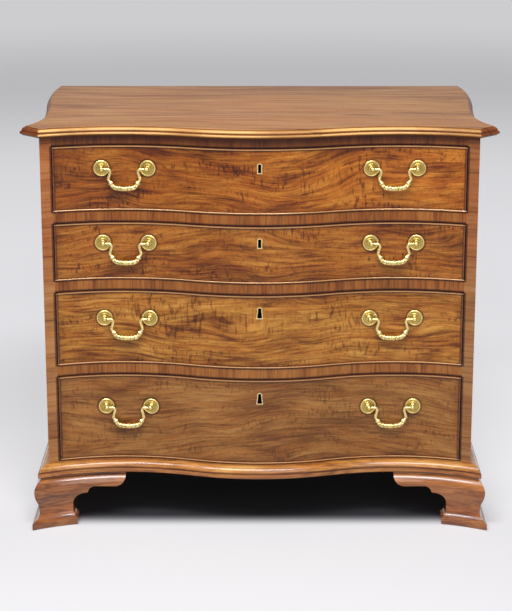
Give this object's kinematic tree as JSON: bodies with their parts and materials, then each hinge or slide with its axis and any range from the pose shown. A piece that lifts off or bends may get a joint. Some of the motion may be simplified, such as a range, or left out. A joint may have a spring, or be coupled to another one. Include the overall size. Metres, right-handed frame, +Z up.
{
  "type": "serpentine chest of drawers",
  "caption": "Serpentine-fronted chest of drawers with eared moulded top, cock-beaded drawers, swan-neck bail handles, locks and ogee bracket feet; drawers slide, bails swing.",
  "frame": {"origin": "on the floor, under the middle of the chest's bounding box", "axes": "+Z up, the drawer fronts face -Y, +X to the right as seen from the front"},
  "size_m": [0.9494, 0.5574, 0.829],
  "materials": {
    "mahogany": "waxed",
    "crossbanded_mahogany": "waxed",
    "oak_lining": "plain",
    "pine_back": "plain",
    "brass": "polished",
    "lock_brass": "dull",
    "iron": "filed"
  },
  "bodies": {
    "carcass": {"top_board": "mahogany", "side_panel_left": "mahogany", "side_panel_right": "mahogany", "back_boards": "pine_back", "bottom_board": "oak_lining", "top_rail": "crossbanded_mahogany", "drawer_divider_1": "crossbanded_mahogany", "drawer_divider_2": "crossbanded_mahogany", "drawer_divider_3": "crossbanded_mahogany", "front_stiles": "crossbanded_mahogany", "base_mouldings": "mahogany", "dustboards": "oak_lining", "drawer_runners": "oak_lining", "front_left_foot": "mahogany", "front_right_foot": "mahogany", "rear_feet": "mahogany"},
    "drawer_1": {"drawer_1_front": "mahogany", "drawer_1_cockbead": "mahogany", "drawer_1_sides": "oak_lining", "drawer_1_back": "oak_lining", "drawer_1_bottom": "oak_lining", "drawer_1_lock": "lock_brass", "drawer_1_escutcheon": "brass", "drawer_1_handle_posts": "brass"},
    "drawer_1_bolt": {"drawer_1_lock_bolt": "iron"},
    "drawer_1_left_bail": {"drawer_1_bail_left": "brass"},
    "drawer_1_right_bail": {"drawer_1_bail_right": "brass"},
    "drawer_2": {"drawer_2_front": "mahogany", "drawer_2_cockbead": "mahogany", "drawer_2_sides": "oak_lining", "drawer_2_back": "oak_lining", "drawer_2_bottom": "oak_lining", "drawer_2_lock": "lock_brass", "drawer_2_escutcheon": "brass", "drawer_2_handle_posts": "brass"},
    "drawer_2_bolt": {"drawer_2_lock_bolt": "iron"},
    "drawer_2_left_bail": {"drawer_2_bail_left": "brass"},
    "drawer_2_right_bail": {"drawer_2_bail_right": "brass"},
    "drawer_3": {"drawer_3_front": "mahogany", "drawer_3_cockbead": "mahogany", "drawer_3_sides": "oak_lining", "drawer_3_back": "oak_lining", "drawer_3_bottom": "oak_lining", "drawer_3_lock": "lock_brass", "drawer_3_escutcheon": "brass", "drawer_3_handle_posts": "brass"},
    "drawer_3_bolt": {"drawer_3_lock_bolt": "iron"},
    "drawer_3_left_bail": {"drawer_3_bail_left": "brass"},
    "drawer_3_right_bail": {"drawer_3_bail_right": "brass"},
    "drawer_4": {"drawer_4_front": "mahogany", "drawer_4_cockbead": "mahogany", "drawer_4_sides": "oak_lining", "drawer_4_back": "oak_lining", "drawer_4_bottom": "oak_lining", "drawer_4_lock": "lock_brass", "drawer_4_escutcheon": "brass", "drawer_4_handle_posts": "brass"},
    "drawer_4_bolt": {"drawer_4_lock_bolt": "iron"},
    "drawer_4_left_bail": {"drawer_4_bail_left": "brass"},
    "drawer_4_right_bail": {"drawer_4_bail_right": "brass"}
  },
  "joints": [
    {"name": "drawer_1_slide", "type": "slide", "parent": "carcass", "child": "drawer_1", "axis": [0, -1, 0], "range_m": [0, 0.36]},
    {"name": "drawer_1_bolt_slide", "type": "slide", "parent": "drawer_1", "child": "drawer_1_bolt", "axis": [0, 0, 1], "range_m": [0, 0.007]},
    {"name": "drawer_1_left_bail_hinge", "type": "hinge", "parent": "drawer_1", "child": "drawer_1_left_bail", "pos_m": [-0.26914, -0.2117, 0.743], "axis": [-0.9999, 0.0156, 0], "range_deg": [-9, 155]},
    {"name": "drawer_1_right_bail_hinge", "type": "hinge", "parent": "drawer_1", "child": "drawer_1_right_bail", "pos_m": [0.26914, -0.2117, 0.743], "axis": [-0.9999, -0.0156, 0], "range_deg": [-9, 155]},
    {"name": "drawer_2_slide", "type": "slide", "parent": "carcass", "child": "drawer_2", "axis": [0, -1, 0], "range_m": [0, 0.36]},
    {"name": "drawer_2_bolt_slide", "type": "slide", "parent": "drawer_2", "child": "drawer_2_bolt", "axis": [0, 0, 1], "range_m": [0, 0.007]},
    {"name": "drawer_2_left_bail_hinge", "type": "hinge", "parent": "drawer_2", "child": "drawer_2_left_bail", "pos_m": [-0.26914, -0.2117, 0.5905], "axis": [-0.9999, 0.0156, 0], "range_deg": [-9, 155]},
    {"name": "drawer_2_right_bail_hinge", "type": "hinge", "parent": "drawer_2", "child": "drawer_2_right_bail", "pos_m": [0.26914, -0.2117, 0.5905], "axis": [-0.9999, -0.0156, 0], "range_deg": [-9, 155]},
    {"name": "drawer_3_slide", "type": "slide", "parent": "carcass", "child": "drawer_3", "axis": [0, -1, 0], "range_m": [0, 0.36]},
    {"name": "drawer_3_bolt_slide", "type": "slide", "parent": "drawer_3", "child": "drawer_3_bolt", "axis": [0, 0, 1], "range_m": [0, 0.007]},
    {"name": "drawer_3_left_bail_hinge", "type": "hinge", "parent": "drawer_3", "child": "drawer_3_left_bail", "pos_m": [-0.26914, -0.2117, 0.433], "axis": [-0.9999, 0.0156, 0], "range_deg": [-9, 155]},
    {"name": "drawer_3_right_bail_hinge", "type": "hinge", "parent": "drawer_3", "child": "drawer_3_right_bail", "pos_m": [0.26914, -0.2117, 0.433], "axis": [-0.9999, -0.0156, 0], "range_deg": [-9, 155]},
    {"name": "drawer_4_slide", "type": "slide", "parent": "carcass", "child": "drawer_4", "axis": [0, -1, 0], "range_m": [0, 0.36]},
    {"name": "drawer_4_bolt_slide", "type": "slide", "parent": "drawer_4", "child": "drawer_4_bolt", "axis": [0, 0, 1], "range_m": [0, 0.007]},
    {"name": "drawer_4_left_bail_hinge", "type": "hinge", "parent": "drawer_4", "child": "drawer_4_left_bail", "pos_m": [-0.26914, -0.2117, 0.244], "axis": [-0.9999, 0.0156, 0], "range_deg": [-9, 155]},
    {"name": "drawer_4_right_bail_hinge", "type": "hinge", "parent": "drawer_4", "child": "drawer_4_right_bail", "pos_m": [0.26914, -0.2117, 0.244], "axis": [-0.9999, -0.0156, 0], "range_deg": [-9, 155]}
  ]
}
